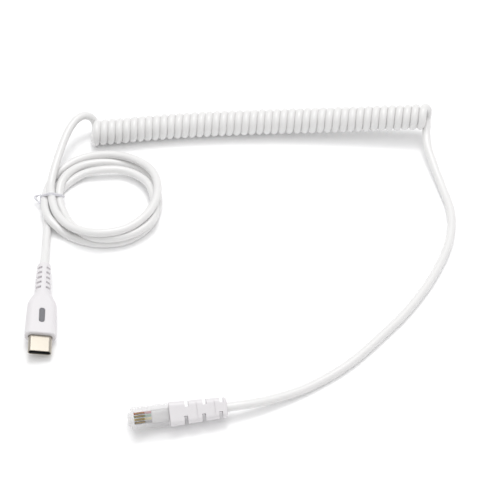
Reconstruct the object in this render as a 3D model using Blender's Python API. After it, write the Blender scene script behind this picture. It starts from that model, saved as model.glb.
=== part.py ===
"""White coiled cable with a USB-C plug on one end and a clear modular plug on the other.

Metres, +Z up, lying on a level floor at Z = 0 with the middle of its outline over the origin. The cord is
one length: a plain tail, a small flat coil of three turns held by a twist tie, a hook, a tight curly stretch,
and a plain lead. Each plug is modelled straight in a frame of its own, an empty with its heading and roll.
"""

import math

import bmesh
import bpy
from mathutils import Matrix, Vector

# Clearances
CORD_GAP = 0.0003
SEAT_GAP = 0.00015

# Cord
CORD_DIAMETER = 0.0031
TUBE_STEP = 2 * CORD_DIAMETER
HOOK_STEP = 1.2 * CORD_DIAMETER
CURLY_DIAMETER = 0.0102
CURLY_STEP = 0.8 * CURLY_DIAMETER
TUBE_ROUND_STEPS = 2
CURLY_ROUND_STEPS = 4

# Flat coil of three turns, as a turned ring, where the cord meets it, and its twist tie
RING_CENTRE = Vector((-0.0541, 0.0305, 0.0))
RING_OUTER_RADIUS = 0.0238
RING_WIDTH = 0.0085
RING_HEIGHT = 0.0075
RING_CORNER = 0.0026
RING_SEGMENTS = 64
TAIL_MEETS_RING = math.radians(221.0)
HOOK_LEAVES_RING = math.radians(133.5)
HOOK_START_HEIGHT = 0.0046
TIE_WIDTH = 0.0009
TIE_THICKNESS = 0.0006
TIE_LOOP_REACH = 0.0022
TIE_LOOP_SPREAD = 0.0030
TIE_LOOP_HOLE_SHARE = 0.35
TIE_LOOP_LEVEL_SHARE = 0.42

# USB-C plug: the steel shell and its insert
SHELL_WIDTH = 0.00825
SHELL_HEIGHT = 0.0024
SHELL_WALL = 0.0003
SHELL_REACH = 0.00665
SHELL_SEAT = 0.0015
SHELL_LIP = 0.00015
MOUTH_WIDTH = 0.0067
MOUTH_HEIGHT = 0.0009
MOUTH_DEPTH = 0.0052

# USB-C plug: the grip and its strain relief, one moulding
GRIP_LENGTH = 0.0187
GRIP_WIDTH = 0.0110
GRIP_SHOULDER_WIDTH = 0.0104
GRIP_THICKNESS = 0.0058
GRIP_CORNER = 0.0023
GRIP_EDGE = 0.0003
SHOULDER_LENGTH = 0.0058
SHOULDER_STEPS = 6
SHOULDER_FULLNESS = 0.75
RELIEF_LENGTH = 0.0135
RELIEF_START_WIDTH = 0.0059
RELIEF_END_WIDTH = 0.0049
RELIEF_ROUNDING = 0.0007
RELIEF_CORE = 0.0035
SLOT_ROWS = 5
SLOT_PITCH = 0.0023
SLOT_WIDTH = 0.0010
SLOT_FROM_END = 0.0026
SLOT_FROM_DEGREES = 17.0
SLOT_TO_DEGREES = 70.0

# Light window in the grip
WINDOW_WIDTH = 0.0021
WINDOW_LENGTH = 0.0063
WINDOW_FROM_FRONT = 0.0077
WINDOW_DEPTH = 0.0007

# Modular plug: a clear body with its latch in the same moulding
BODY_LENGTH = 0.0126
BODY_WIDTH = 0.00765
BODY_HEIGHT = 0.0066
BODY_CHAMFER = 0.0004
BODY_CORNER = 0.0008
TONGUE_REACH = 0.00115
TONGUE_WIDTH = 0.0048
TONGUE_HEIGHT = 0.0024
TONGUE_CORNER = 0.0007
TONGUE_NOSE = 0.0005
TONGUE_ABOVE_BASE = 0.0002
TONGUE_OVERLAP = 0.0012
LATCH_WIDTH = 0.0032
LATCH_THICKNESS = 0.0008
LATCH_LENGTH = 0.0112
LATCH_ROOT = 0.0016
LATCH_BEND = 0.0032
LATCH_ROOT_DEPTH = 0.0001

# Modular plug: blades, wires and the end of the cord's jacket inside it
WIRE_COLOURS = ("red", "green", "yellow", "black")
WIRE_PITCH = 0.00102
WIRE_DIAMETER = 0.0008
WIRE_LEVEL = 0.0009
WIRE_FROM_FRONT = 0.0010
WIRE_LENGTH = 0.0058
WIRE_ROUND_STEPS = 3
BLADE_THICKNESS = 0.0003
BLADE_LENGTH = 0.0032
BLADE_FROM_FRONT = 0.0012
BLADE_RECESS = 0.0005
JACKET_WIDTH = 0.0044
JACKET_HEIGHT = 0.0026

# Boot of the modular plug
BOOT_LENGTH = 0.0194
BOOT_START_WIDTH = 0.0081
BOOT_END_WIDTH = 0.0067
BOOT_START_HEIGHT = 0.0069
BOOT_END_HEIGHT = 0.0057
BOOT_CORNER = 0.0016
BOOT_CHAMFER = 0.00024
BOOT_ROUNDING = 0.0008
BOOT_CORE = 0.0035
NOTCH_WIDTH = 0.0013
NOTCHES_FROM_START = (0.0060, 0.0120, 0.0177)
NEAR_NOTCH_SHIFT = 0.00063
NEAR_NOTCH_EXTRA_DEPTH = 0.0005
GROOVE_WIDTH = 0.0003
GROOVE_DEPTH = 0.00025
GROOVES_FROM_START = (0.0092, 0.0152)

# Where the plugs lie: the middle of each one's front face, its heading and its roll
USB_FRONT = (-0.0709, -0.0352)
USB_HEADING = math.radians(2.85)
USB_ROLL = math.radians(12.0)
MODULAR_FRONT = (-0.0373, -0.0697)
MODULAR_HEADING = math.radians(8.56)
MODULAR_ROLL = math.radians(30.0)
REST_MARGIN = 0.00003

# Routes of the cord: X, Y and the height of the cord's underside above the floor. The tail ends at the flat
# coil, and the hook starts from it
TAIL_ROUTE = (
    (-0.0727, 0.0000, 0.0013),
    (-0.0730, 0.0062, 0.0002),
)
HOOK_ROUTE = (
    (-0.0698, 0.0554, 0.0066),
    (-0.0686, 0.0592, 0.0074),
    (-0.0670, 0.0630, 0.0081),
    (-0.0646, 0.0666, 0.0084),
    (-0.0621, 0.0683, 0.0080),
    (-0.0608, 0.0679, 0.0070),
    (-0.0602, 0.0669, 0.0057),
)
LEAD_ROUTE = (
    (0.0731, 0.0694, 0.0056),
    (0.0725, 0.0660, 0.0050),
    (0.0720, 0.0625, 0.0046),
    (0.0722, 0.0569, 0.0037),
    (0.0738, 0.0488, 0.0021),
    (0.0764, 0.0376, 0.0006),
    (0.0786, 0.0258, 0.0001),
    (0.0784, 0.0183, 0.00002),
    (0.0776, 0.0139, 0.0),
    (0.0756, 0.0071, 0.0),
    (0.0723, -0.0005, 0.0),
    (0.0688, -0.0071, 0.0),
    (0.0621, -0.0174, 0.0),
    (0.0557, -0.0256, 0.0),
    (0.0496, -0.0322, 0.0),
    (0.0436, -0.0385, 0.0),
    (0.0377, -0.0442, 0.0),
    (0.0320, -0.0487, 0.0),
    (0.0263, -0.0525, 0.00005),
    (0.0207, -0.0558, 0.0003),
    (0.0152, -0.0584, 0.0008),
    (0.0097, -0.0607, 0.0015),
    (0.0043, -0.0626, 0.0023),
    (-0.0008, -0.0640, 0.0030),
)

# Axis of the curly stretch: X, Y and the height of its underside above the floor
CURLY_ROUTE = (
    (-0.0580, 0.0630, 0.00005),
    (-0.0260, 0.0670, 0.00005),
    (0.0072, 0.0686, 0.0006),
    (0.0400, 0.0682, 0.0024),
    (0.0702, 0.0669, 0.0049),
)

# Fineness: steps along a route's spans, round a corner and round an end, and how round a corner may get
ROUTE_STEPS = 24
CORNER_STEPS = 6
END_SHARES = (1.0, 0.3, 0.0)
FULL_ROUND = 0.98


def clear_scene():
    """Empty the scene, so that the part is all that it holds."""
    for thing in list(bpy.data.objects):
        bpy.data.objects.remove(thing, do_unlink=True)


def make_finish(name, colour, roughness, metallic=0.0, transmission=0.0):
    """A plain material in the part's own colour."""
    finish = bpy.data.materials.new(name)
    finish.use_nodes = True
    shader = finish.node_tree.nodes["Principled BSDF"]
    shader.inputs["Base Color"].default_value = (*colour, 1.0)
    shader.inputs["Roughness"].default_value = roughness
    shader.inputs["Metallic"].default_value = metallic
    shader.inputs["Transmission Weight"].default_value = transmission
    return finish


def add_object(name, data, parent=None):
    """Link new data into the scene, under a plug's empty where it has one."""
    thing = bpy.data.objects.new(name, data)
    bpy.context.scene.collection.objects.link(thing)
    thing.parent = parent
    return thing


def rounded_outline(width, height, corner, steps=CORNER_STEPS):
    """Points of a rounded rectangle about (0, 0), anticlockwise, as (across, up) pairs."""
    corner = min(corner, FULL_ROUND * width / 2, FULL_ROUND * height / 2)
    points = []
    for quarter, (side, rise) in enumerate(((1, 1), (-1, 1), (-1, -1), (1, -1))):
        middle_across = side * (width / 2 - corner)
        middle_up = rise * (height / 2 - corner)
        for step in range(steps + 1):
            angle = math.pi / 2 * (quarter + step / steps)
            points.append((middle_across + corner * math.cos(angle), middle_up + corner * math.sin(angle)))
    return points


def along_y(outline, y, shift=(0.0, 0.0)):
    """Put an outline square to Y, at a place along it."""
    return [Vector((across + shift[0], y, up + shift[1])) for across, up in outline]


def along_x(outline, x, shift=(0.0, 0.0)):
    """Put an outline square to X, at a place along it."""
    return [Vector((x, across + shift[0], up + shift[1])) for across, up in outline]


def end_rounding(radius):
    """A rounded end as pairs: how far before the end, and how far in from the sides there."""
    pairs = []
    for share in END_SHARES:
        before = radius * share
        pairs.append((before, radius - math.sqrt(2 * radius * before - before**2)))
    return pairs


def add_loft(mesh, sections, closed_round=False):
    """Skin a row of sections with as many points each, and cap the ends or join the last to the first."""
    rings = [[mesh.verts.new(point) for point in section] for section in sections]
    pairs = list(zip(rings, rings[1:]))
    if closed_round:
        pairs.append((rings[-1], rings[0]))
    for first, second in pairs:
        for index in range(len(first)):
            mesh.faces.new((first[index - 1], first[index], second[index], second[index - 1]))
    if not closed_round:
        mesh.faces.new(rings[0])
        mesh.faces.new(rings[-1])


def add_tube_wall(mesh, outer_sections, inner_sections):
    """Skin an open tube: out along the outer sections and back along the inner ones."""
    add_loft(mesh, [*outer_sections, *reversed(inner_sections)], closed_round=True)


def add_block(mesh, low, high):
    """A box between two opposite corners."""
    size = [high[axis] - low[axis] for axis in range(3)]
    middle = [(high[axis] + low[axis]) / 2 for axis in range(3)]
    place = Matrix.Translation(middle) @ Matrix.Diagonal((*size, 1.0))
    bmesh.ops.create_cube(mesh, size=1.0, matrix=place)


def mesh_object(name, build, finish=None, parent=None, smooth_degrees=35.0):
    """Make an object from a function that fills a mesh, with its faces turned outwards."""
    mesh = bmesh.new()
    build(mesh)
    bmesh.ops.recalc_face_normals(mesh, faces=mesh.faces)
    data = bpy.data.meshes.new(name)
    mesh.to_mesh(data)
    mesh.free()
    data.shade_smooth()
    data.set_sharp_from_angle(angle=math.radians(smooth_degrees))
    if finish:
        data.materials.append(finish)
    return add_object(name, data, parent)


def combine(target, name, operation, build):
    """Cut a helper shape out of a solid, or join one to it."""
    helper = mesh_object(name, build, parent=target.parent)
    helper.hide_render = True
    helper.display_type = "WIRE"
    modifier = target.modifiers.new(name, "BOOLEAN")
    modifier.operation = operation
    modifier.solver = "EXACT"
    modifier.object = helper


def smooth_points(route, spacing):
    """Points about a spacing apart on the smooth curve through a route's own points."""
    ends = (2 * route[0] - route[1], 2 * route[-1] - route[-2])
    knots = [ends[0], *route, ends[1]]
    dense = [route[0]]
    for before, start, end, after in zip(knots, knots[1:], knots[2:], knots[3:]):
        for step in range(1, ROUTE_STEPS + 1):
            t = step / ROUTE_STEPS
            dense.append(
                0.5 * (
                    2 * start
                    + (end - before) * t
                    + (2 * before - 5 * start + 4 * end - after) * t**2
                    + (3 * start - before - 3 * end + after) * t**3
                )
            )
    run = [0.0]
    for start, end in zip(dense, dense[1:]):
        run.append(run[-1] + (end - start).length)
    count = max(2, round(run[-1] / spacing))
    points = []
    index = 0
    for number in range(count + 1):
        wanted = run[-1] * number / count
        while index < len(run) - 2 and run[index + 1] < wanted:
            index += 1
        share = (wanted - run[index]) / (run[index + 1] - run[index])
        points.append(dense[index].lerp(dense[index + 1], share))
    return points


def lifted(route, diameter):
    """Turn a route's underside heights into the middle of a round cord."""
    return [Vector((x, y, under + diameter / 2)) for x, y, under in route]


def cord_object(name, points, diameter, round_steps, finish):
    """A plain round tube along the points, with flat ends."""
    curve = bpy.data.curves.new(name, "CURVE")
    curve.dimensions = "3D"
    curve.bevel_depth = diameter / 2
    curve.bevel_resolution = round_steps
    curve.use_fill_caps = True
    spline = curve.splines.new("POLY")
    spline.points.add(len(points) - 1)
    for knot, point in zip(spline.points, points):
        knot.co = (*point, 1.0)
    curve.materials.append(finish)
    return add_object(name, curve)


def rest_height(width, height, corner, roll):
    """How far the middle of a rounded bar lies above the floor that it rests on when rolled."""
    corner = min(corner, width / 2, height / 2)
    sideways = (width / 2 - corner) * math.sin(roll)
    upright = (height / 2 - corner) * math.cos(roll)
    return sideways + upright + corner + REST_MARGIN


def plug_frame(name, front, height, roll_about, roll, heading):
    """The empty that a plug's pieces are placed under, at the middle of its front face."""
    frame = add_object(name, None)
    frame.location = (*front, height)
    turns = [0.0, 0.0, heading]
    turns["xy".index(roll_about)] = roll
    frame.rotation_euler = turns
    return frame


def frame_matrix(frame):
    """Where an empty stands, worked out before the scene is next updated."""
    return Matrix.LocRotScale(frame.location, frame.rotation_euler, None)


# Flat coil and tie


def make_tied_coil(finish):
    """The three turns as one turned ring, with a groove where the tie draws them together."""
    middle_radius = RING_OUTER_RADIUS - RING_WIDTH / 2
    profile = rounded_outline(RING_WIDTH, RING_HEIGHT, RING_CORNER)

    def ring(mesh):
        sections = []
        for number in range(RING_SEGMENTS):
            angle = 2 * math.pi * number / RING_SEGMENTS
            out = Vector((math.cos(angle), math.sin(angle), 0.0))
            sections.append(
                [
                    RING_CENTRE + out * (middle_radius + across) + Vector((0.0, 0.0, RING_HEIGHT / 2 + up))
                    for across, up in profile
                ]
            )
        add_loft(mesh, sections, closed_round=True)

    coil = mesh_object("tied_coil", ring, finish)
    groove = TIE_THICKNESS + CORD_GAP
    wide = TIE_WIDTH + 2 * CORD_GAP
    combine(coil, "cut_tie_groove", "DIFFERENCE", lambda mesh: tie_band(mesh, -groove, groove, wide))


def tie_band(mesh, inner_grow, outer_grow, wide):
    """A band round the ring's section, grown from that section by two distances."""
    middle = RING_CENTRE + Vector((RING_WIDTH / 2 - RING_OUTER_RADIUS, 0.0, RING_HEIGHT / 2))
    walls = []
    for grow in (outer_grow, inner_grow):
        outline = rounded_outline(RING_WIDTH + 2 * grow, RING_HEIGHT + 2 * grow, RING_CORNER + grow)
        walls.append(
            [along_y(outline, middle.y + side * wide / 2, (middle.x, middle.z)) for side in (-1, 1)]
        )
    add_tube_wall(mesh, *walls)


def make_twist_tie(finish):
    """The thin tie in its groove, with the small twisted loop that stands out to the left."""
    inner = -TIE_THICKNESS
    band = mesh_object("twist_tie", lambda mesh: tie_band(mesh, inner, 0.0, TIE_WIDTH), finish)
    side = RING_CENTRE.x - RING_OUTER_RADIUS
    level = RING_HEIGHT * TIE_LOOP_LEVEL_SHARE
    base = side - CORD_GAP
    half = Vector((0.0, TIE_WIDTH / 2, TIE_THICKNESS / 2))
    neck_start = Vector((side + TIE_THICKNESS / 2, RING_CENTRE.y, level))
    neck_end = Vector((base - TIE_THICKNESS / 2, RING_CENTRE.y, level))

    def loop(mesh):
        outline = ((base, -TIE_LOOP_SPREAD / 2), (base, TIE_LOOP_SPREAD / 2), (base - TIE_LOOP_REACH, 0.0))
        centre_x = sum(x for x, _ in outline) / len(outline)
        walls = []
        for scale in (1.0, TIE_LOOP_HOLE_SHARE):
            walls.append(
                [
                    [
                        Vector((centre_x + (x - centre_x) * scale, RING_CENTRE.y + y * scale, level + rise))
                        for x, y in outline
                    ]
                    for rise in (-TIE_THICKNESS / 2, TIE_THICKNESS / 2)
                ]
            )
        add_tube_wall(mesh, *walls)

    combine(band, "join_tie_neck", "UNION", lambda mesh: add_block(mesh, neck_end - half, neck_start + half))
    combine(band, "join_tie_loop", "UNION", loop)


# Cord


def beside_ring(angle, under):
    """Where a cord lies against the outside of the flat coil."""
    reach = RING_OUTER_RADIUS + CORD_DIAMETER / 2
    return RING_CENTRE.x + reach * math.cos(angle), RING_CENTRE.y + reach * math.sin(angle), under


def make_cord(finish, usb, modular):
    """The plain runs as thin tubes and the curly stretch as one fat tube of its outer diameter."""
    relief_end = frame_matrix(usb) @ Vector((0.0, GRIP_LENGTH + RELIEF_LENGTH + CORD_GAP, 0.0))
    boot_end = frame_matrix(modular) @ Vector((BODY_LENGTH + SEAT_GAP + BOOT_LENGTH + CORD_GAP, 0.0, 0.0))
    tail = (*TAIL_ROUTE, beside_ring(TAIL_MEETS_RING, 0.0))
    hook = (beside_ring(HOOK_LEAVES_RING, HOOK_START_HEIGHT), *HOOK_ROUTE)
    runs = (
        ("cord_tail", [relief_end, *lifted(tail, CORD_DIAMETER)], TUBE_STEP),
        ("cord_hook", lifted(hook, CORD_DIAMETER), HOOK_STEP),
        ("cord_lead", [*lifted(LEAD_ROUTE, CORD_DIAMETER), boot_end], TUBE_STEP),
    )
    for name, route, step in runs:
        cord_object(name, smooth_points(route, step), CORD_DIAMETER, TUBE_ROUND_STEPS, finish)
    axis = smooth_points(lifted(CURLY_ROUTE, CURLY_DIAMETER), CURLY_STEP)
    cord_object("curly_cord", axis, CURLY_DIAMETER, CURLY_ROUND_STEPS, finish)


# USB-C plug


def make_shell(finish, frame):
    """The drawn steel shell: an oval tube with a rolled front lip, seated in the grip."""
    front = -SHELL_REACH

    def oval(inset, y):
        height = SHELL_HEIGHT - 2 * inset
        return along_y(rounded_outline(SHELL_WIDTH - 2 * inset, height, height / 2), y)

    outer = [oval(SHELL_LIP, front), oval(0.0, front + SHELL_LIP), oval(0.0, SHELL_SEAT)]
    inner = [oval(SHELL_WALL, front + SHELL_LIP / 2), oval(SHELL_WALL, SHELL_SEAT)]
    mesh_object("usb_c_shell", lambda mesh: add_tube_wall(mesh, outer, inner), finish, frame)


def make_insulator(finish, frame):
    """The black insert in the shell, with the mouth that the socket's tongue goes into."""
    height = SHELL_HEIGHT - 2 * SHELL_WALL - 2 * SEAT_GAP
    width = SHELL_WIDTH - 2 * SHELL_WALL - 2 * SEAT_GAP
    front = -SHELL_REACH + 2 * SHELL_LIP
    oval = rounded_outline(width, height, height / 2)

    def insert(mesh):
        add_loft(mesh, [along_y(oval, front), along_y(oval, SHELL_SEAT)])

    block = mesh_object("usb_c_insulator", insert, finish, frame)
    low = (-MOUTH_WIDTH / 2, front - SEAT_GAP, -MOUTH_HEIGHT / 2)
    high = (MOUTH_WIDTH / 2, front + MOUTH_DEPTH, MOUTH_HEIGHT / 2)
    combine(block, "cut_mouth", "DIFFERENCE", lambda mesh: add_block(mesh, low, high))


def shoulder_width(share):
    """Width of the grip on its shoulder, from the full width at 0 to the neck at 1."""
    rise = (1 - share) ** SHOULDER_FULLNESS
    eased = rise * rise * (3 - 2 * rise)
    return RELIEF_START_WIDTH + (GRIP_SHOULDER_WIDTH - RELIEF_START_WIDTH) * eased


def grip_sections():
    """Cross-sections of the grip and the strain relief, from the front to the cord."""
    rows = [
        (0.0, GRIP_WIDTH - 2 * GRIP_EDGE, GRIP_THICKNESS - 2 * GRIP_EDGE, GRIP_CORNER - GRIP_EDGE),
        (GRIP_EDGE, GRIP_WIDTH, GRIP_THICKNESS, GRIP_CORNER),
    ]
    shoulder_start = GRIP_LENGTH - SHOULDER_LENGTH
    for step in range(SHOULDER_STEPS + 1):
        share = step / SHOULDER_STEPS
        thick = GRIP_THICKNESS + (RELIEF_START_WIDTH - GRIP_THICKNESS) * share
        corner = GRIP_CORNER + (RELIEF_START_WIDTH / 2 - GRIP_CORNER) * share
        rows.append((shoulder_start + SHOULDER_LENGTH * share, shoulder_width(share), thick, corner))
    for before, inset in end_rounding(RELIEF_ROUNDING):
        size = RELIEF_END_WIDTH - 2 * inset
        rows.append((GRIP_LENGTH + RELIEF_LENGTH - before, size, size, size / 2))
    return [along_y(rounded_outline(width, thick, corner), y) for y, width, thick, corner in rows]


def relief_slots(mesh):
    """Four curved windows in each row of the strain relief, left between two spines and two side ribs."""
    end = GRIP_LENGTH + RELIEF_LENGTH
    outer = RELIEF_START_WIDTH
    inner = RELIEF_CORE / 2
    for row in range(SLOT_ROWS):
        middle = end - SLOT_FROM_END - row * SLOT_PITCH
        for side in (-1, 1):
            for rise in (-1, 1):
                outline = []
                for radius, way in ((inner, 1), (outer, -1)):
                    for step in range(CORNER_STEPS + 1)[::way]:
                        spread = SLOT_TO_DEGREES - SLOT_FROM_DEGREES
                        angle = math.radians(SLOT_FROM_DEGREES + spread * step / CORNER_STEPS)
                        outline.append((side * radius * math.sin(angle), rise * radius * math.cos(angle)))
                ends = [along_y(outline, middle + half * SLOT_WIDTH / 2) for half in (-1, 1)]
                add_loft(mesh, ends)


def make_grip(finish, frame):
    """The white grip with its strain relief, cut for the shell, the window and the slots."""
    grip = mesh_object("usb_c_housing", lambda mesh: add_loft(mesh, grip_sections()), finish, frame)
    pocket_height = SHELL_HEIGHT + 2 * SEAT_GAP
    pocket = rounded_outline(SHELL_WIDTH + 2 * SEAT_GAP, pocket_height, pocket_height / 2)

    def shell_pocket(mesh):
        add_loft(mesh, [along_y(pocket, -SEAT_GAP), along_y(pocket, SHELL_SEAT + SEAT_GAP)])

    combine(grip, "cut_shell_pocket", "DIFFERENCE", shell_pocket)
    top = GRIP_THICKNESS / 2
    combine(
        grip,
        "cut_window_seat",
        "DIFFERENCE",
        lambda mesh: window_block(mesh, WINDOW_WIDTH, WINDOW_LENGTH, top - WINDOW_DEPTH, top + SEAT_GAP),
    )
    combine(grip, "cut_relief_slots", "DIFFERENCE", relief_slots)


def window_block(mesh, width, length, bottom, top):
    """An upright block with round ends, in the middle of the light window."""
    outline = rounded_outline(width, length, width / 2)
    levels = [
        [Vector((across, WINDOW_FROM_FRONT + along, level)) for across, along in outline]
        for level in (bottom, top)
    ]
    add_loft(mesh, levels)


def make_window(finish, frame):
    """The grey light window in its seat."""
    width = WINDOW_WIDTH - 2 * SEAT_GAP
    length = WINDOW_LENGTH - 2 * SEAT_GAP
    top = GRIP_THICKNESS / 2
    bottom = top - WINDOW_DEPTH + SEAT_GAP
    mesh_object("usb_c_window", lambda mesh: window_block(mesh, width, length, bottom, top), finish, frame)


def make_usb_plug(finishes):
    """The USB-C plug in its own frame: +Y runs back to the cord and +Z is the window's side."""
    height = rest_height(GRIP_WIDTH, GRIP_THICKNESS, GRIP_CORNER, USB_ROLL)
    frame = plug_frame("usb_c_plug_frame", USB_FRONT, height, "y", USB_ROLL, USB_HEADING)
    make_shell(finishes["steel"], frame)
    make_insulator(finishes["black_plastic"], frame)
    make_grip(finishes["white_moulding"], frame)
    make_window(finishes["grey_window"], frame)
    return frame


# Modular plug


def wire_shift(number):
    """Where a wire and its blade lie across the plug: the first is on the far side."""
    return WIRE_PITCH * ((len(WIRE_COLOURS) - 1) / 2 - number)


def make_modular_body(finish, frame):
    """The clear body with its tongue and latch, hollowed for the cord, the wires and the blades."""
    front_width = BODY_WIDTH - 2 * BODY_CHAMFER
    front_height = BODY_HEIGHT - 2 * BODY_CHAMFER
    body_front = rounded_outline(front_width, front_height, BODY_CORNER - BODY_CHAMFER)
    body_full = rounded_outline(BODY_WIDTH, BODY_HEIGHT, BODY_CORNER)

    def block(mesh):
        places = ((body_front, 0.0), (body_full, BODY_CHAMFER), (body_full, BODY_LENGTH))
        add_loft(mesh, [along_x(outline, x) for outline, x in places])

    body = mesh_object("modular_plug", block, finish, frame)
    combine(body, "join_tongue", "UNION", modular_tongue)
    combine(body, "join_latch", "UNION", modular_latch)
    combine(body, "cut_cord_bay", "DIFFERENCE", cord_bay)
    combine(body, "cut_wire_bay", "DIFFERENCE", wire_bay)
    combine(body, "cut_blade_slots", "DIFFERENCE", blade_slots)


def modular_tongue(mesh):
    """The narrow tongue ahead of the body's front face, which the latch springs from."""
    outline = rounded_outline(TONGUE_WIDTH, TONGUE_HEIGHT, TONGUE_CORNER)
    nose = rounded_outline(TONGUE_WIDTH - 2 * TONGUE_NOSE, TONGUE_HEIGHT - TONGUE_NOSE, TONGUE_CORNER)
    level = -BODY_HEIGHT / 2 + TONGUE_HEIGHT / 2 + TONGUE_ABOVE_BASE
    places = ((nose, -TONGUE_REACH), (outline, TONGUE_NOSE - TONGUE_REACH), (outline, TONGUE_OVERLAP))
    add_loft(mesh, [along_x(shape, x, (0.0, level)) for shape, x in places])


def latch_drop():
    """How far the latch hangs under the body: to the floor, beside the edge that the plug leans on."""
    return (BODY_WIDTH - LATCH_WIDTH) / 2 * math.tan(MODULAR_ROLL)


def modular_latch(mesh):
    """The springy latch under the body, rooted at the front and free at the back."""
    under = -BODY_HEIGHT / 2
    bottom = under - latch_drop()
    profile = (
        (0.0, under + BODY_CHAMFER),
        (LATCH_ROOT + BODY_CHAMFER, under + BODY_CHAMFER),
        (LATCH_BEND, bottom + LATCH_THICKNESS + LATCH_ROOT_DEPTH),
        (LATCH_LENGTH, bottom + LATCH_THICKNESS),
        (LATCH_LENGTH, bottom),
        (LATCH_BEND, bottom + LATCH_ROOT_DEPTH),
        (LATCH_ROOT, (under + bottom) / 2),
        (0.0, under - LATCH_ROOT_DEPTH),
    )
    sides = [[Vector((x, side * LATCH_WIDTH / 2, z)) for x, z in profile] for side in (-1, 1)]
    add_loft(mesh, sides)


def wires_end():
    """How far the wires run back from the front face."""
    return WIRE_FROM_FRONT + WIRE_LENGTH


def cord_bay(mesh):
    """The room for the end of the cord's jacket, open to the back."""
    wide = JACKET_WIDTH + 2 * SEAT_GAP
    high = JACKET_HEIGHT + 2 * SEAT_GAP
    outline = rounded_outline(wide, high, high / 2)
    add_loft(mesh, [along_x(outline, x) for x in (wires_end(), BODY_LENGTH + SEAT_GAP)])


def wire_bay(mesh):
    """The flat room for the four wires, open into the jacket's room."""
    span = WIRE_PITCH * (len(WIRE_COLOURS) - 1) + WIRE_DIAMETER + 2 * SEAT_GAP
    tall = WIRE_DIAMETER / 2 + SEAT_GAP
    low = (WIRE_FROM_FRONT - SEAT_GAP, -span / 2, WIRE_LEVEL - tall)
    high = (wires_end() + SEAT_GAP, span / 2, WIRE_LEVEL + tall)
    add_block(mesh, low, high)


def blade_slots(mesh):
    """One slot for each blade, from the contact face down into the wires' room."""
    half = BLADE_THICKNESS / 2 + SEAT_GAP
    for number in range(len(WIRE_COLOURS)):
        middle = wire_shift(number)
        low = (BLADE_FROM_FRONT - SEAT_GAP, middle - half, WIRE_LEVEL)
        high = (BLADE_FROM_FRONT + BLADE_LENGTH + SEAT_GAP, middle + half, BODY_HEIGHT / 2 + SEAT_GAP)
        add_block(mesh, low, high)


def make_contacts(gold, wire_finishes, frame):
    """The gold blades in their slots, and the coloured wires under them."""
    round_wire = rounded_outline(WIRE_DIAMETER, WIRE_DIAMETER, WIRE_DIAMETER / 2, WIRE_ROUND_STEPS)
    for number, colour in enumerate(WIRE_COLOURS):
        middle = wire_shift(number)
        blade_low = (
            BLADE_FROM_FRONT,
            middle - BLADE_THICKNESS / 2,
            WIRE_LEVEL + WIRE_DIAMETER / 2 + SEAT_GAP,
        )
        blade_high = (
            BLADE_FROM_FRONT + BLADE_LENGTH,
            middle + BLADE_THICKNESS / 2,
            BODY_HEIGHT / 2 - BLADE_RECESS,
        )
        mesh_object(
            f"contact_blade_{number + 1}",
            lambda mesh, low=blade_low, high=blade_high: add_block(mesh, low, high),
            gold,
            frame,
        )
        ends = [along_x(round_wire, x, (middle, WIRE_LEVEL)) for x in (WIRE_FROM_FRONT, wires_end())]
        mesh_object(
            f"wire_{colour}", lambda mesh, ends=ends: add_loft(mesh, ends), wire_finishes[colour], frame
        )


def make_jacket_end(finish, frame):
    """The end of the cord's jacket, pressed oval in the body and flush with its back."""
    outline = rounded_outline(JACKET_WIDTH, JACKET_HEIGHT, JACKET_HEIGHT / 2)
    ends = [along_x(outline, x) for x in (wires_end() + SEAT_GAP, BODY_LENGTH)]
    mesh_object("jacket_end", lambda mesh: add_loft(mesh, ends), finish, frame)


def boot_size(share):
    """Width and height of the boot, from its start at 0 to its end at 1."""
    wide = BOOT_START_WIDTH + (BOOT_END_WIDTH - BOOT_START_WIDTH) * share
    high = BOOT_START_HEIGHT + (BOOT_END_HEIGHT - BOOT_START_HEIGHT) * share
    return wide, high


def make_boot(finish, frame):
    """The white boot behind the body, notched on both edges and grooved across its faces."""
    start = BODY_LENGTH + SEAT_GAP
    rear = [(BOOT_LENGTH - before, inset) for before, inset in end_rounding(BOOT_ROUNDING)]

    def boot(mesh):
        sections = []
        for along, inset in ((0.0, BOOT_CHAMFER), (BOOT_CHAMFER, 0.0), *rear):
            wide, high = boot_size(along / BOOT_LENGTH)
            outline = rounded_outline(wide - 2 * inset, high - 2 * inset, BOOT_CORNER - inset)
            sections.append(along_x(outline, start + along))
        add_loft(mesh, sections)

    solid = mesh_object("plug_boot", boot, finish, frame)

    def notches(mesh):
        for side, shift, deeper in ((-1, NEAR_NOTCH_SHIFT, NEAR_NOTCH_EXTRA_DEPTH), (1, 0.0, 0.0)):
            for along in NOTCHES_FROM_START:
                middle = start + along - shift
                near = side * (BOOT_CORE / 2 - deeper)
                far = side * BOOT_START_WIDTH
                low = (middle - NOTCH_WIDTH / 2, min(near, far), -BOOT_START_HEIGHT)
                high = (middle + NOTCH_WIDTH / 2, max(near, far), BOOT_START_HEIGHT)
                add_block(mesh, low, high)

    combine(solid, "cut_notches", "DIFFERENCE", notches)

    def grooves(mesh):
        for along in GROOVES_FROM_START:
            for rise in (-1, 1):
                surface = boot_size(along / BOOT_LENGTH)[1] / 2
                near = rise * (surface - GROOVE_DEPTH)
                far = rise * BOOT_START_HEIGHT
                low = (start + along - GROOVE_WIDTH / 2, -BOOT_START_WIDTH, min(near, far))
                high = (start + along + GROOVE_WIDTH / 2, BOOT_START_WIDTH, max(near, far))
                add_block(mesh, low, high)

    combine(solid, "cut_grooves", "DIFFERENCE", grooves)


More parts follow.
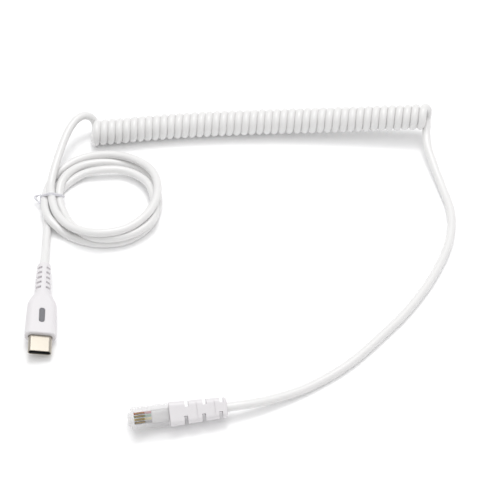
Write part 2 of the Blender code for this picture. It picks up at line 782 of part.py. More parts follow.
def make_modular_plug(finishes):
    """The modular plug in its own frame: +X runs back to the cord and +Z is the contacts' side."""
    height = rest_height(BODY_WIDTH, BODY_HEIGHT, 0.0, MODULAR_ROLL)
    frame = plug_frame("modular_plug_frame", MODULAR_FRONT, height, "x", MODULAR_ROLL, MODULAR_HEADING)
    make_modular_body(finishes["clear_plastic"], frame)
    wire_finishes = {colour: finishes[f"{colour}_wire"] for colour in WIRE_COLOURS}
    make_contacts(finishes["gold"], wire_finishes, frame)
    make_jacket_end(finishes["white_jacket"], frame)
    make_boot(finishes["white_moulding"], frame)
    return frame


def make_finishes():
    """Every material of the part, by name."""
    return {
        "white_jacket": make_finish("white_jacket", (0.86, 0.86, 0.85), 0.35),
        "white_moulding": make_finish("white_moulding", (0.87, 0.86, 0.87), 0.45),
        "steel": make_finish("steel", (0.80, 0.77, 0.70), 0.25, metallic=1.0),
        "black_plastic": make_finish("black_plastic", (0.015, 0.015, 0.016), 0.5),
        "grey_window": make_finish("grey_window", (0.22, 0.22, 0.23), 0.3),
        "clear_plastic": make_finish("clear_plastic", (0.93, 0.94, 0.94), 0.08, transmission=0.9),
        "clear_tie": make_finish("clear_tie", (0.85, 0.85, 0.88), 0.3),
        "gold": make_finish("gold", (0.85, 0.62, 0.25), 0.25, metallic=1.0),
        "red_wire": make_finish("red_wire", (0.55, 0.03, 0.03), 0.4),
        "green_wire": make_finish("green_wire", (0.03, 0.35, 0.10), 0.4),
        "yellow_wire": make_finish("yellow_wire", (0.75, 0.65, 0.08), 0.4),
        "black_wire": make_finish("black_wire", (0.02, 0.02, 0.02), 0.4),
    }


def main():
    clear_scene()
    finishes = make_finishes()
    usb = make_usb_plug(finishes)
    modular = make_modular_plug(finishes)
    make_tied_coil(finishes["white_jacket"])
    make_twist_tie(finishes["clear_tie"])
    make_cord(finishes["white_jacket"], usb, modular)


main()
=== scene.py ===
"""Looks of the white coiled cable: its cord, twist tie and two plugs, on a pale floor.

Each group of pieces has an operator of its own, and the sidebar panel lists them. Everything is
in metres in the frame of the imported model: the cable lies on the floor at Z = 0, with its curly
stretch along X.
"""

import math

import bmesh
import bpy
from bpy.props import FloatProperty, FloatVectorProperty, PointerProperty
from mathutils import Euler, Matrix, Vector


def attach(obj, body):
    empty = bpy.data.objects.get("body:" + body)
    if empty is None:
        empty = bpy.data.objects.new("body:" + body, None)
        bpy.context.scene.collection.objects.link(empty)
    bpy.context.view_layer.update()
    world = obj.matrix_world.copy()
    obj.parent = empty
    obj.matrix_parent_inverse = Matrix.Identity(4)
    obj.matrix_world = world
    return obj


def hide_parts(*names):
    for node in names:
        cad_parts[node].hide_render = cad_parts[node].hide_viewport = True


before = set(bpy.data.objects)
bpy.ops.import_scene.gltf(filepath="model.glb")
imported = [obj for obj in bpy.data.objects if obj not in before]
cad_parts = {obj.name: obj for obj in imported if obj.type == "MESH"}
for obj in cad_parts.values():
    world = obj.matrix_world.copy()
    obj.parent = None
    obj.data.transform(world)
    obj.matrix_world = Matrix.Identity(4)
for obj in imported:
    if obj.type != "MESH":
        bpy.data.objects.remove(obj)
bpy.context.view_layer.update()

bl_info = {
    "name": "Coiled cable looks",
    "version": (1, 0, 0),
    "blender": (4, 5, 0),
    "location": "3D View > Sidebar > Cable",
    "description": "Dresses the coiled cable with its cord, tie, plugs and stage",
    "category": "Object",
}

BODY = "root"

# The USB-C plug's frame: the middle of the grip's front face, +Y back to the cord and +Z the
# window's side
USB_FRONT = Vector((-0.0709, -0.0352, 0.00358))
USB_HEADING = math.radians(2.85)
USB_ROLL = math.radians(12.0)
USB_LENGTH = 0.0322

# The modular plug's frame: the middle of its front face, +X back to the cord and +Z the
# contacts' side
MODULAR_FRONT = Vector((-0.0373, -0.0697, 0.0048))
MODULAR_HEADING = math.radians(8.56)
MODULAR_ROLL = math.radians(30.0)
MODULAR_LENGTH = 0.0323
BLADE_COUNT = 4

# How far the cord goes on inside each strain relief, and how finely it is drawn
CORD_INSIDE = 0.0015
CORD_POINTS_PER_DIAMETER = 3
CORD_ROUNDING = 6

# Routes of the cord between its plugs, its flat coil and its curly stretch: X, Y and the height
# of its underside
TAIL_ROUTE = (
    (-0.0727, 0.0000, 0.0013),
    (-0.0730, 0.0062, 0.0002),
    (-0.0733, 0.0136, 0.0),
)
HOOK_ROUTE = (
    (-0.0732, 0.0332, 0.0031),
    (-0.0726, 0.0425, 0.0043),
    (-0.0717, 0.0470, 0.0051),
    (-0.0707, 0.0516, 0.0059),
    (-0.0698, 0.0554, 0.0066),
    (-0.0686, 0.0592, 0.0074),
    (-0.0670, 0.0630, 0.0081),
    (-0.0646, 0.0666, 0.0084),
    (-0.0621, 0.0683, 0.0080),
    (-0.0602, 0.0688, 0.0066),
    (-0.0590, 0.0689, 0.0046),
    (-0.0584, 0.0683, 0.0022),
    (-0.0585, 0.0663, 0.0005),
)
LEAD_ROUTE = (
    (0.0722, 0.0625, 0.0046),
    (0.0722, 0.0569, 0.0037),
    (0.0738, 0.0488, 0.0021),
    (0.0764, 0.0376, 0.0006),
    (0.0786, 0.0258, 0.0001),
    (0.0784, 0.0183, 0.00002),
    (0.0776, 0.0139, 0.0),
    (0.0756, 0.0071, 0.0),
    (0.0723, -0.0005, 0.0),
    (0.0688, -0.0071, 0.0),
    (0.0621, -0.0174, 0.0),
    (0.0557, -0.0256, 0.0),
    (0.0496, -0.0322, 0.0),
    (0.0436, -0.0385, 0.0),
    (0.0377, -0.0442, 0.0),
    (0.0320, -0.0487, 0.0),
    (0.0263, -0.0525, 0.00005),
    (0.0207, -0.0558, 0.0003),
    (0.0152, -0.0584, 0.0008),
    (0.0097, -0.0607, 0.0015),
    (0.0043, -0.0626, 0.0023),
    (-0.0008, -0.0640, 0.0030),
)

# The flat coil: for each turn, clockwise from the tie, the radius and the height of the cord's
# middle, and then the same where the last turn comes back to the tie
COIL_CENTRE = Vector((-0.0541, 0.0305, 0.0))
COIL_TURNS = (
    (
        (0.01845, 0.0019),
        (0.0160, 0.0017),
        (0.0149, 0.0026),
        (0.0142, 0.0035),
        (0.0163, 0.0032),
        (0.0186, 0.0032),
        (0.0202, 0.0039),
        (0.0234, 0.0042),
        (0.0228, 0.00435),
        (0.0209, 0.0042),
        (0.0173, 0.0030),
        (0.0153, 0.0024),
    ),
    (
        (0.01585, 0.0031),
        (0.0173, 0.0041),
        (0.0187, 0.0031),
        (0.0194, 0.0022),
        (0.0208, 0.0015),
        (0.0215, 0.0015),
        (0.0218, 0.0015),
        (0.02265, 0.0015),
        (0.0226, 0.0015),
        (0.02125, 0.0015),
        (0.0206, 0.0016),
        (0.0217, 0.0042),
    ),
    (
        (0.0211, 0.0030),
        (0.0215, 0.0028),
        (0.0222, 0.0032),
        (0.0221, 0.0038),
        (0.0220, 0.0048),
        (0.0223, 0.0060),
        (0.02175, 0.0068),
        (0.02155, 0.0069),
        (0.02135, 0.0068),
        (0.0207, 0.0070),
        (0.0194, 0.0059),
        (0.0183, 0.0048),
    ),
)
COIL_END = (0.0186, 0.00475)

# Axis of the curly stretch. Its turns are counted from the X where the helix would be at the
# top, and the helix starts this share of a turn after it, at the bottom
CURLY_AXIS = (
    (-0.0620, 0.0625, 0.00515),
    (-0.0580, 0.0630, 0.00515),
    (-0.0260, 0.0670, 0.00515),
    (0.0072, 0.0686, 0.0057),
    (0.0400, 0.0682, 0.0075),
    (0.0702, 0.0669, 0.01025),
    (0.0740, 0.0667, 0.0106),
)
CURLY_TOP = -0.0602
CURLY_START = 0.5
CURLY_POINTS_PER_TURN = 24

# The last turn of the curly stretch leans outwards over this share of a turn, by this much
LAST_LEAN_TURN = 0.5
LAST_LEAN = 0.0012

# Twist tie round the held cords: its direction from the flat coil's centre, how far it sits
# along the cords, and how far it leans for each metre up
TIE_PLACE = math.pi
TIE_SHIFT = 0.0005
TIE_SLANT = 0.45

# Profile of the tie's band: shares of its half width and of its thickness
TIE_PROFILE = (
    (-1.0, 0.0),
    (-1.0, 0.3),
    (-0.45, 0.45),
    (0.0, 1.0),
    (0.45, 0.45),
    (1.0, 0.3),
    (1.0, 0.0),
)
TIE_STEPS_ROUND_CORD = 48

# Loop of the tie: its points, from the band out to the left, to the front and back
TIE_LOOP = (
    (-0.0769, 0.0316, 0.0035),
    (-0.0779, 0.0315, 0.0034),
    (-0.0791, 0.0309, 0.0030),
    (-0.0783, 0.0296, 0.0027),
    (-0.0770, 0.0283, 0.0026),
    (-0.0769, 0.0296, 0.0028),
    (-0.0768, 0.0310, 0.0031),
)
TIE_LOOP_TWISTS = 1.5
TIE_LOOP_SIDES = 12
TIE_POINTS_PER_THICKNESS = 2

# Colours that stay as they are
WHITE = (1.0, 1.0, 1.0, 1.0)
FLOOR_COLOURS = ((0.96, 0.96, 0.965, 1.0), (0.97, 0.97, 0.975, 1.0))
INSERT_BLACK = (0.012, 0.012, 0.013)
BLADE_GOLD = (0.42, 0.31, 0.17)
WIRE_COLOURS = {
    "red": (0.60, 0.01, 0.01),
    "green": (0.03, 0.30, 0.08),
    "yellow": (0.72, 0.60, 0.05),
    "black": (0.015, 0.015, 0.015),
}

# The camera, fifty degrees above the floor, and the places of the two softboxes
CAMERA_PLACE = (-0.0011, -0.3169, 0.3922)
CAMERA_TILT = math.radians(40.0)
CAMERA_SENSOR_WIDTH = 36.0
CAMERA_NEAR_END = 0.01
SOFTBOX_BEHIND = Vector((0.05, 0.45, 1.25))
SOFTBOX_OVERHEAD = Vector((0.0, 0.1, 1.3))


# Shapes


def smooth_line(knots, spacing):
    """Points about a spacing apart on the smooth curve through uneven knots."""
    gaps = [(after - before).length for before, after in zip(knots, knots[1:])]
    slopes = [(after - before) / gap for before, after, gap in zip(knots, knots[1:], gaps)]
    tangents = [slopes[0]]
    for index in range(1, len(knots) - 1):
        before, after = gaps[index - 1], gaps[index]
        blend = (slopes[index - 1] * after + slopes[index] * before) / (before + after)
        tangents.append(blend)
    tangents.append(slopes[-1])
    points = [knots[0]]
    for index, gap in enumerate(gaps):
        steps = max(1, round(gap / spacing))
        for step in range(1, steps + 1):
            t = step / steps
            points.append(
                knots[index] * (2 * t**3 - 3 * t**2 + 1)
                + tangents[index] * gap * (t**3 - 2 * t**2 + t)
                + knots[index + 1] * (3 * t**2 - 2 * t**3)
                + tangents[index + 1] * gap * (t**3 - t**2)
            )
    return points


def place_on(points, x):
    """The point and the direction where a smooth line that runs along X passes a given X."""
    for start, end in zip(points, points[1:]):
        if end.x >= x:
            break
    share = (x - start.x) / (end.x - start.x)
    return start.lerp(end, share), (end - start).normalized()


def link(name, data):
    """A new object in the scene."""
    thing = bpy.data.objects.new(name, data)
    bpy.context.scene.collection.objects.link(thing)
    return thing


def tube(name, points, diameter, rounding):
    """A round cord through the points, as a curve with filled ends."""
    data = bpy.data.curves.new(name, "CURVE")
    data.dimensions = "3D"
    data.bevel_depth = diameter / 2
    data.bevel_resolution = rounding
    data.use_fill_caps = True
    spline = data.splines.new("POLY")
    spline.points.add(len(points) - 1)
    for knot, point in zip(spline.points, points):
        knot.co = (*point, 1.0)
    return link(name, data)


def mesh_piece(name, mesh, smooth_degrees=40.0):
    """A finished mesh as a piece of its own, with its faces turned outwards."""
    bmesh.ops.recalc_face_normals(mesh, faces=mesh.faces)
    data = bpy.data.meshes.new(name)
    mesh.to_mesh(data)
    mesh.free()
    data.shade_smooth()
    data.set_sharp_from_angle(angle=math.radians(smooth_degrees))
    return link(name, data)


def join_rings(mesh, first, second):
    """A band of faces between two closed rings with the same number of points."""
    for index in range(len(first)):
        corners = (first[index - 1], first[index], second[index], second[index - 1])
        mesh.faces.new(corners)


def twisted_strip(mesh, points, width, thickness, twists):
    """A flat strip along the points, with rounded edges and filled ends, twisted as it goes."""
    last = len(points) - 1
    angles = [2 * math.pi * side / TIE_LOOP_SIDES for side in range(TIE_LOOP_SIDES)]
    rings = []
    for index, point in enumerate(points):
        along = (points[min(index + 1, last)] - points[max(index - 1, 0)]).normalized()
        across = along.cross(Vector((0.0, 0.0, 1.0))).normalized()
        spin = Matrix.Rotation(2 * math.pi * twists * index / last, 3, along)
        wide = spin @ across * width / 2
        high = spin @ across.cross(along) * thickness / 2
        ring = []
        for angle in angles:
            corner = point + wide * math.cos(angle) + high * math.sin(angle)
            ring.append(mesh.verts.new(corner))
        rings.append(ring)
    for first, second in zip(rings, rings[1:]):
        join_rings(mesh, first, second)
    mesh.faces.new(rings[0])
    mesh.faces.new(rings[-1])


def turn(first, middle, last):
    """Positive where three points of a plane turn left."""
    ahead = (middle[0] - first[0]) * (last[1] - first[1])
    return ahead - (middle[1] - first[1]) * (last[0] - first[0])


def hull(points):
    """The convex outline round some points of a plane, anticlockwise."""
    ordered = sorted(set(points))
    sides = []
    for run in (ordered, ordered[::-1]):
        chain = []
        for point in run:
            while len(chain) > 1 and turn(chain[-2], chain[-1], point) <= 0:
                chain.pop()
            chain.append(point)
        sides += chain[:-1]
    return sides


def usb_frame():
    """Where the USB-C plug lies."""
    return Matrix.LocRotScale(USB_FRONT, Euler((0.0, USB_ROLL, USB_HEADING)), None)


def modular_frame():
    """Where the modular plug lies."""
    return Matrix.LocRotScale(MODULAR_FRONT, Euler((MODULAR_ROLL, 0.0, MODULAR_HEADING)), None)


def coil_point(angle, radius, height):
    """A point of the flat coil, at an angle turned clockwise from the tie."""
    heading = TIE_PLACE - angle
    return COIL_CENTRE + Vector((radius * math.cos(heading), radius * math.sin(heading), height))


# Finishes


class Wire:
    """One output of a material's node. Sums with it add the Math nodes that they need."""

    def __init__(self, finish, socket):
        self.finish = finish
        self.socket = socket

    def math(self, operation, first, second):
        settings = {"operation": operation}
        return self.finish.node("ShaderNodeMath", settings, {0: first, 1: second})

    def __add__(self, other):
        return self.math("ADD", self, other)

    def __radd__(self, other):
        return self.math("ADD", other, self)

    def __sub__(self, other):
        return self.math("SUBTRACT", self, other)

    def __rsub__(self, other):
        return self.math("SUBTRACT", other, self)

    def __mul__(self, other):
        return self.math("MULTIPLY", self, other)

    def __rmul__(self, other):
        return self.math("MULTIPLY", other, self)


class Finish:
    """A material under construction, round its Principled shader."""

    def __init__(self, name):
        self.material = bpy.data.materials.new(name)
        self.material.use_nodes = True
        self.tree = self.material.node_tree
        self.shader = self.tree.nodes["Principled BSDF"]

    def node(self, kind, settings=None, inputs=None, output=0):
        """Add a node: its settings first, then the values or links of its sockets."""
        made = self.tree.nodes.new(kind)
        for key, value in (settings or {}).items():
            setattr(made, key, value)
        for key, value in (inputs or {}).items():
            self.feed(made.inputs[key], value)
        return Wire(self, made.outputs[output])

    def feed(self, socket, value):
        """Link a socket to a wire, or set it to a value."""
        if isinstance(value, Wire):
            self.tree.links.new(value.socket, socket)
        else:
            socket.default_value = value

    def set(self, **values):
        """Set or link the shader's own sockets, named in lower case with underscores."""
        for name, value in values.items():
            title = name.replace("_", " ").title().replace("Ior", "IOR")
            self.feed(self.shader.inputs[title], value)

    def place(self):
        """Where a point of the piece is, in metres."""
        return self.node("ShaderNodeTexCoord", output="Object")

    def noise(self, size, detail=2.0, stretch=(1.0, 1.0, 1.0)):
        """Soft noise from 0 to 1 with spots of about a size in metres, stretched by axis."""
        shares = tuple(1.0 / way for way in stretch)
        scaled = self.node(
            "ShaderNodeVectorMath", {"operation": "MULTIPLY"}, {0: self.place(), 1: shares}
        )
        inputs = {"Vector": scaled, "Scale": 1.0 / size, "Detail": detail}
        return self.node("ShaderNodeTexNoise", {}, inputs, output="Fac")

    def mix(self, factor, first, second):
        """A blend of two colours."""
        inputs = {0: factor, 6: first, 7: second}
        return self.node("ShaderNodeMix", {"data_type": "RGBA"}, inputs, output=2)

    def bump(self, height, strength, distance):
        """Raise the surface by a height from 0 to 1, times a distance in metres."""
        inputs = {"Strength": strength, "Distance": distance, "Height": height}
        self.set(normal=self.node("ShaderNodeBump", {}, inputs))


def shade(colour, factor):
    """A colour with its brightness multiplied."""
    return tuple(channel * factor for channel in colour[:3]) + (1.0,)


def around(middle, swing, mask):
    """A value that swings evenly round a middle where a mask goes from 0 to 1."""
    return middle + swing * (mask - 0.5)


def white_plastic(name, colour, roughness, grain_size, grain_depth, coat=0.0):
    """Smooth white plastic: a faint cloudiness, a fine grain and a soft gloss."""
    finish = Finish(name)
    cloud = finish.noise(size=0.012)
    finish.set(
        base_color=finish.mix(cloud, shade(colour, 0.985), shade(colour, 1.01)),
        roughness=around(roughness, 0.08, finish.noise(size=0.003)),
        coat_weight=coat,
        coat_roughness=0.15,
        subsurface_weight=0.3,
        subsurface_radius=(1.0, 1.0, 1.0),
        subsurface_scale=0.0008,
        ior=1.5,
    )
    finish.bump(finish.noise(grain_size, detail=3.0), strength=0.35, distance=grain_depth)
    return finish.material


def bright_metal(name, colour, roughness, stretch):
    """Drawn and plated metal: fine lengthwise scratches and a slightly uneven gloss."""
    finish = Finish(name)
    scratches = finish.noise(size=0.00012, stretch=stretch)
    finish.set(
        base_color=finish.mix(scratches, shade(colour, 0.94), shade(colour, 1.03)),
        metallic=1.0,
        roughness=around(roughness, 0.1, finish.noise(size=0.0012)),
    )
    finish.bump(scratches, strength=0.2, distance=0.000004)
    return finish.material


def glossy_colour(name, colour, roughness, gloss=0.5):
    """Coloured or black plastic with a faint unevenness."""
    finish = Finish(name)
    cloud = finish.noise(size=0.0015)
    finish.set(
        base_color=finish.mix(cloud, shade(colour, 0.85), shade(colour, 1.1)),
        roughness=around(roughness, 0.1, finish.noise(size=0.0006)),
        specular_ior_level=gloss,
    )
    finish.bump(finish.noise(size=0.0002), strength=0.2, distance=0.000005)
    return finish.material


def flow_marks(finish, colour, darkest, roughness):
    """Give a finish the faint flow marks of moulded clear plastic, and return the marks."""
    flow = finish.noise(size=0.0012, stretch=(3.0, 1.0, 1.0))
    finish.set(
        base_color=finish.mix(flow, shade(colour, darkest), shade(colour, 1.0)),
        roughness=roughness + 0.05 * flow,
        ior=1.58,
    )
    finish.bump(flow, strength=0.15, distance=0.00001)
    return flow


def frosted_plastic(name, colour, roughness, transmission):
    """Frosted plastic film that lets a little light through."""
    finish = Finish(name)
    flow_marks(finish, colour, 0.97, roughness)
    finish.set(transmission_weight=transmission)
    return finish.material


def milky_plastic(name, colour, roughness, cover):
    """Clear moulded plastic that shows what lies inside, under a thin milky cover."""
    finish = Finish(name)
    flow = flow_marks(finish, colour, 0.94, roughness)
    finish.set(alpha=around(cover, 0.1, flow))
    return finish.material


def dress(piece, finish):
    """Give a piece its finish in place of the one it has."""
    piece.data.materials.clear()
    piece.data.materials.append(finish)


def settle(piece):
    """Tie a new piece to the body."""
    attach(piece, BODY)


# Settings that a user would change


class StageSettings(bpy.types.PropertyGroup):
    """Floor, lights and camera."""

    floor_size: FloatProperty(
        name="Floor size",
        description="Side of the floor",
        default=3.0,
        unit="LENGTH",
        subtype="DISTANCE",
    )
    floor_glow: FloatProperty(
        name="Floor glow", description="Light that the floor gives of its own", default=0.05
    )
    key_power: FloatProperty(
        name="Key light", description="Power of the light behind", default=4.4, unit="POWER"
    )
    key_width: FloatProperty(
        name="Key light width",
        description="Width of the light behind",
        default=0.5,
        unit="LENGTH",
        subtype="DISTANCE",
    )
    overhead_power: FloatProperty(
        name="Overhead light",
        description="Power of the wide light overhead",
        default=6.6,
        unit="POWER",
    )
    overhead_width: FloatProperty(
        name="Overhead light width",
        description="Width of the wide light overhead",
        default=1.6,
        unit="LENGTH",
        subtype="DISTANCE",
    )
    sky: FloatProperty(
        name="Sky", description="Strength of the light from all round", default=0.60
    )
    lens: FloatProperty(
        name="Lens",
        description="Focal length in millimetres",
        default=102.75,
        unit="CAMERA",
        subtype="DISTANCE_CAMERA",
    )


class CordSettings(bpy.types.PropertyGroup):
    """Sizes and colour of the cord."""

    diameter: FloatProperty(
        name="Diameter",
        description="Thickness of the cord",
        default=0.0031,
        unit="LENGTH",
        subtype="DISTANCE",
    )
    curl_radius: FloatProperty(
        name="Curl radius",
        description="From the curly stretch's axis to the middle of the cord",
        default=0.00355,
        unit="LENGTH",
        subtype="DISTANCE",
    )
    curl_pitch: FloatProperty(
        name="Curl pitch",
        description="From one turn of the curly stretch to the next, at its left end",
        default=0.0029,
        unit="LENGTH",
        subtype="DISTANCE",
    )
    curl_stretch: FloatProperty(
        name="Curl stretch",
        description="How much wider apart each turn of the curly stretch is than the last",
        default=0.0000037,
        unit="LENGTH",
        subtype="DISTANCE",
    )
    turns: FloatProperty(name="Turns", description="Turns of the curly stretch", default=44.0)
    length: FloatProperty(
        name="Length",
        description="Length of the whole cord",
        default=1.65,
        unit="LENGTH",
        subtype="DISTANCE",
    )
    colour: FloatVectorProperty(
        name="Colour",
        description="Colour of the jacket",
        default=(0.83, 0.825, 0.82),
        size=3,
        subtype="COLOR",
    )


class TieSettings(bpy.types.PropertyGroup):
    """Sizes and colour of the twist tie."""

    width: FloatProperty(
        name="Width",
        description="Width of the tie's band",
        default=0.0013,
        unit="LENGTH",
        subtype="DISTANCE",
    )
    thickness: FloatProperty(
        name="Thickness",
        description="Thickness of the tie's band along its wire",
        default=0.0005,
        unit="LENGTH",
        subtype="DISTANCE",
    )
    loop_width: FloatProperty(
        name="Loop width",
        description="Width of the twisted loop",
        default=0.0009,
        unit="LENGTH",
        subtype="DISTANCE",
    )
    colour: FloatVectorProperty(
        name="Colour",
        description="Colour of the tie",
        default=(0.79, 0.785, 0.83),
        size=3,
        subtype="COLOR",
    )


class PlugSettings(bpy.types.PropertyGroup):
    """Colours of the two plugs."""

    moulding: FloatVectorProperty(
        name="Moulding",
        description="White grip and boot",
        default=(0.79, 0.77, 0.785),
        size=3,
        subtype="COLOR",
    )
    shell: FloatVectorProperty(
        name="Shell",
        description="Plated shell",
        default=(0.53, 0.49, 0.425),
        size=3,
        subtype="COLOR",
    )
    window: FloatVectorProperty(
        name="Window",
        description="Light window",
        default=(0.20, 0.20, 0.215),
        size=3,
        subtype="COLOR",
    )
    clear: FloatVectorProperty(
        name="Clear body",
        description="See-through plug body",
        default=(0.78, 0.77, 0.78),
        size=3,
        subtype="COLOR",
    )


# Stage


class CABLE_OT_stage(bpy.types.Operator):
    """Set the pale floor, the soft lights and the camera"""

    bl_idname = "cable.stage"
    bl_label = "Stage"

    def execute(self, context):
        settings = context.scene.cable_stage
        self.make_camera(context, settings)
        self.make_floor(settings)
        self.make_lights(context, settings)
        return {"FINISHED"}

    def make_camera(self, context, settings):
        """The view of the photograph: from the front, fifty degrees down."""
        camera = link("camera", bpy.data.cameras.new("camera"))
        camera.data.lens = settings.lens
        camera.data.sensor_width = CAMERA_SENSOR_WIDTH
        camera.data.clip_start = CAMERA_NEAR_END
        camera.location = CAMERA_PLACE
        camera.rotation_euler = (CAMERA_TILT, 0.0, 0.0)
        context.scene.camera = camera

    def make_floor(self, settings):
        """A wide pale floor with the faintest cloudiness."""
        mesh = bmesh.new()
        bmesh.ops.create_grid(mesh, x_segments=1, y_segments=1, size=settings.floor_size / 2)
        floor = mesh_piece("floor", mesh)
        finish = Finish("pale_floor")
        finish.set(
            base_color=finish.mix(finish.noise(size=0.05), *FLOOR_COLOURS),
            roughness=0.7,
            specular_ior_level=0.2,
            emission_color=WHITE,
            emission_strength=settings.floor_glow,
        )
        dress(floor, finish.material)

    def make_lights(self, context, settings):
        """A softbox above and behind, a wide one overhead, and an even sky."""
        self.make_softbox("softbox_behind", settings.key_power, settings.key_width, SOFTBOX_BEHIND)
        self.make_softbox(
            "softbox_overhead", settings.overhead_power, settings.overhead_width, SOFTBOX_OVERHEAD
        )
        world = bpy.data.worlds.new("studio")
        world.use_nodes = True
        sky = world.node_tree.nodes["Background"]
        sky.inputs["Color"].default_value = WHITE
        sky.inputs["Strength"].default_value = settings.sky
        context.scene.world = world
        context.scene.view_settings.view_transform = "Standard"

    def make_softbox(self, name, power, width, place):
        """A round softbox that faces the cable."""
        data = bpy.data.lights.new(name, "AREA")
        data.energy = power
        data.shape = "DISK"
        data.size = width
        light = link(name, data)
        light.location = place
        light.rotation_mode = "QUATERNION"
        light.rotation_quaternion = (-place).to_track_quat("-Z", "Y")


# Cord


class CABLE_OT_cord(bpy.types.Operator):
    """Lay the one cord, from the USB-C plug through its coils to the modular plug"""

    bl_idname = "cable.cord"
    bl_label = "Cord"

    def execute(self, context):
        settings = context.scene.cable_cord
        radius = settings.diameter / 2
        line = smooth_line(self.knots(settings), settings.diameter / CORD_POINTS_PER_DIAMETER)
        for point in line:
            point.z = max(point.z, radius)
        cord = tube("cord", line, settings.diameter, CORD_ROUNDING)
        jacket = white_plastic(
            "white_jacket_satin",
            settings.colour,
            roughness=0.38,
            grain_size=0.0004,
            grain_depth=0.000006,
            coat=0.3,
        )
        dress(cord, jacket)
        settle(cord)
        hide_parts("cord_tail", "tied_coil", "cord_hook", "curly_cord", "cord_lead")
        tuple(usb_frame() @ Vector((0.0, USB_LENGTH, 0.0)))
        return {"FINISHED"}

    def knots(self, settings):
        """Every point that the cord's middle passes through, from plug to plug."""
        radius = settings.diameter / 2
        usb = usb_frame()
        modular = modular_frame()
        starts = [usb @ Vector((0.0, USB_LENGTH - inside, 0.0)) for inside in (CORD_INSIDE, 0.0)]
        ends = [
            modular @ Vector((MODULAR_LENGTH - inside, 0.0, 0.0)) for inside in (0.0, CORD_INSIDE)
        ]
        tail, hook, lead = [
            [Vector((x, y, under + radius)) for x, y, under in route]
            for route in (TAIL_ROUTE, HOOK_ROUTE, LEAD_ROUTE)
        ]
        return [*starts, *tail, *self.flat_coil(), *hook, *self.curls(settings), *lead, *ends]

    def flat_coil(self):
        """The three turns of the flat coil, back to the tie."""
        points = []
        for rows in COIL_TURNS:
            for number, (radius, height) in enumerate(rows):
                points.append(coil_point(2 * math.pi * number / len(rows), radius, height))
        points.append(coil_point(0.0, *COIL_END))
        return points

    def curls(self, settings):
        """The helix of the curly stretch: over the top to the back, down, under and up."""
        axis = smooth_line([Vector(point) for point in CURLY_AXIS], settings.diameter)
        end = CURLY_START + settings.turns
        points = []
        for number in range(round(settings.turns * CURLY_POINTS_PER_TURN) + 1):
            turned = CURLY_START + number / CURLY_POINTS_PER_TURN
            x = CURLY_TOP + turned * settings.curl_pitch + turned**2 * settings.curl_stretch / 2
            place, along = place_on(axis, x)
            back = Vector((0.0, 0.0, 1.0)).cross(along).normalized()
            up = along.cross(back)
            angle = 2 * math.pi * turned
            out = settings.curl_radius * (up * math.cos(angle) + back * math.sin(angle))
            left = min(end - turned, LAST_LEAN_TURN)
            lean = LAST_LEAN * math.sin(math.pi * left / LAST_LEAN_TURN) ** 2
            points.append(place + out + lean * along)
        return points


# Twist tie


class CABLE_OT_tie(bpy.types.Operator):
    """Draw the twist tie round the flat coil's cords, with its twisted loop"""

    bl_idname = "cable.tie"
    bl_label = "Twist tie"

    def execute(self, context):
        settings = context.scene.cable_tie
        mesh = bmesh.new()
        self.band(mesh, settings, context.scene.cable_cord.diameter / 2)
        loop = smooth_line(
            [Vector(point) for point in TIE_LOOP], settings.thickness / TIE_POINTS_PER_THICKNESS
        )
        twisted_strip(mesh, loop, settings.loop_width, settings.thickness, TIE_LOOP_TWISTS)
        tie = mesh_piece("tie_band", mesh)
        film = frosted_plastic("frosted_tie", settings.colour, roughness=0.22, transmission=0.1)
        dress(tie, film)
        settle(tie)
        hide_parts("twist_tie")
        return {"FINISHED"}

    def band(self, mesh, settings, cord_radius):
        """The band drawn tight round the held cords, thickest along the wire in its middle."""
        loops = []
        for across, rise in TIE_PROFILE:
            loop = []
            for x, z in self.outline(cord_radius + rise * settings.thickness):
                middle = COIL_CENTRE.y + TIE_SHIFT - TIE_SLANT * (z - TIE_LOOP[0][2])
                corner = (x, middle + across * settings.width / 2, max(z, 0.0))
                loop.append(mesh.verts.new(corner))
            loops.append(loop)
        for first, second in zip(loops, [*loops[1:], loops[0]]):
            join_rings(mesh, first, second)

    def outline(self, reach):
        """The outline drawn tight round the held cords, at a reach from their middles."""
        rims = []
        for radius, height in [*(rows[0] for rows in COIL_TURNS), COIL_END]:
            centre = coil_point(0.0, radius, height)
            for step in range(TIE_STEPS_ROUND_CORD):
                angle = 2 * math.pi * step / TIE_STEPS_ROUND_CORD
                rim = (centre.x + reach * math.cos(angle), centre.z + reach * math.sin(angle))
                rims.append(rim)
        return hull(rims)


# Plugs


class CABLE_OT_usb_plug(bpy.types.Operator):
    """Finish the USB-C plug: its shell, insert, grip and light window"""

    bl_idname = "cable.usb_plug"
    bl_label = "USB-C plug"

    def execute(self, context):
        settings = context.scene.cable_plugs
        finishes = {
            "usb_c_housing": white_plastic(
                "white_grip_satin",
                settings.moulding,
                roughness=0.45,
                grain_size=0.00012,
                grain_depth=0.000004,
            ),
            "usb_c_shell": bright_metal(
                "plated_shell", settings.shell, roughness=0.36, stretch=(1.0, 8.0, 1.0)
            ),
            "usb_c_insulator": glossy_colour("black_insert", INSERT_BLACK, roughness=0.5),
            "usb_c_window": glossy_colour(
                "smoky_window", settings.window, roughness=0.4, gloss=0.2
            ),
        }
        for node, finish in finishes.items():
            dress(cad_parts[node], finish)
        return {"FINISHED"}


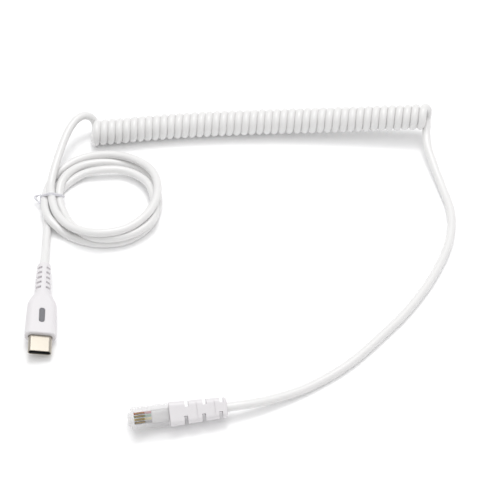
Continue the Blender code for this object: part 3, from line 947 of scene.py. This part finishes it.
class CABLE_OT_modular_plug(bpy.types.Operator):
    """Finish the modular plug: its clear body, blades, wires and jacket end"""

    bl_idname = "cable.modular_plug"
    bl_label = "Modular plug"

    def execute(self, context):
        settings = context.scene.cable_plugs
        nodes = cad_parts
        clear = milky_plastic("clear_body", settings.clear, roughness=0.06, cover=0.3)
        dress(nodes["modular_plug"], clear)
        gold = bright_metal("gold_blade", BLADE_GOLD, roughness=0.3, stretch=(6.0, 1.0, 1.0))
        for number in range(1, BLADE_COUNT + 1):
            dress(nodes[f"contact_blade_{number}"], gold)
        for name, colour in WIRE_COLOURS.items():
            insulation = glossy_colour(f"{name}_insulation", colour, roughness=0.35)
            dress(nodes[f"wire_{name}"], insulation)
        jacket = white_plastic(
            "jacket_end_satin",
            context.scene.cable_cord.colour,
            roughness=0.4,
            grain_size=0.0004,
            grain_depth=0.000006,
        )
        dress(nodes["jacket_end"], jacket)
        return {"FINISHED"}


class CABLE_OT_boot(bpy.types.Operator):
    """Finish the slotted boot behind the modular plug"""

    bl_idname = "cable.boot"
    bl_label = "Boot"

    def execute(self, context):
        moulding = white_plastic(
            "white_boot_satin",
            context.scene.cable_plugs.moulding,
            roughness=0.42,
            grain_size=0.00015,
            grain_depth=0.000005,
        )
        dress(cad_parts["plug_boot"], moulding)
        return {"FINISHED"}


# Panel


class CABLE_PT_panel(bpy.types.Panel):
    """The cable's pieces and their settings"""

    bl_idname = "CABLE_PT_panel"
    bl_label = "Coiled cable"
    bl_space_type = "VIEW_3D"
    bl_region_type = "UI"
    bl_category = "Cable"

    def draw(self, context):
        for pointer, group, operators in SECTIONS:
            box = self.layout.box()
            for name in group.__annotations__:
                box.prop(getattr(context.scene, pointer), name)
            for operator in operators:
                box.operator(operator.bl_idname)


# For each group of settings: its name on the scene, its class and the operators that use it
SECTIONS = (
    ("cable_stage", StageSettings, (CABLE_OT_stage,)),
    ("cable_cord", CordSettings, (CABLE_OT_cord,)),
    ("cable_tie", TieSettings, (CABLE_OT_tie,)),
    ("cable_plugs", PlugSettings, (CABLE_OT_usb_plug, CABLE_OT_modular_plug, CABLE_OT_boot)),
)


def register():
    """Register every class, and hang the settings on the scene."""
    for pointer, group, operators in SECTIONS:
        bpy.utils.register_class(group)
        setattr(bpy.types.Scene, pointer, PointerProperty(type=group))
        for operator in operators:
            bpy.utils.register_class(operator)
    bpy.utils.register_class(CABLE_PT_panel)


def unregister():
    """Undo what register did."""
    bpy.utils.unregister_class(CABLE_PT_panel)
    for pointer, group, operators in SECTIONS:
        for operator in operators:
            bpy.utils.unregister_class(operator)
        delattr(bpy.types.Scene, pointer)
        bpy.utils.unregister_class(group)


def main():
    """Build the whole scene."""
    register()
    bpy.ops.cable.stage()
    bpy.ops.cable.cord()
    bpy.ops.cable.tie()
    bpy.ops.cable.usb_plug()
    bpy.ops.cable.modular_plug()
    bpy.ops.cable.boot()


if __name__ == "__main__":
    main()
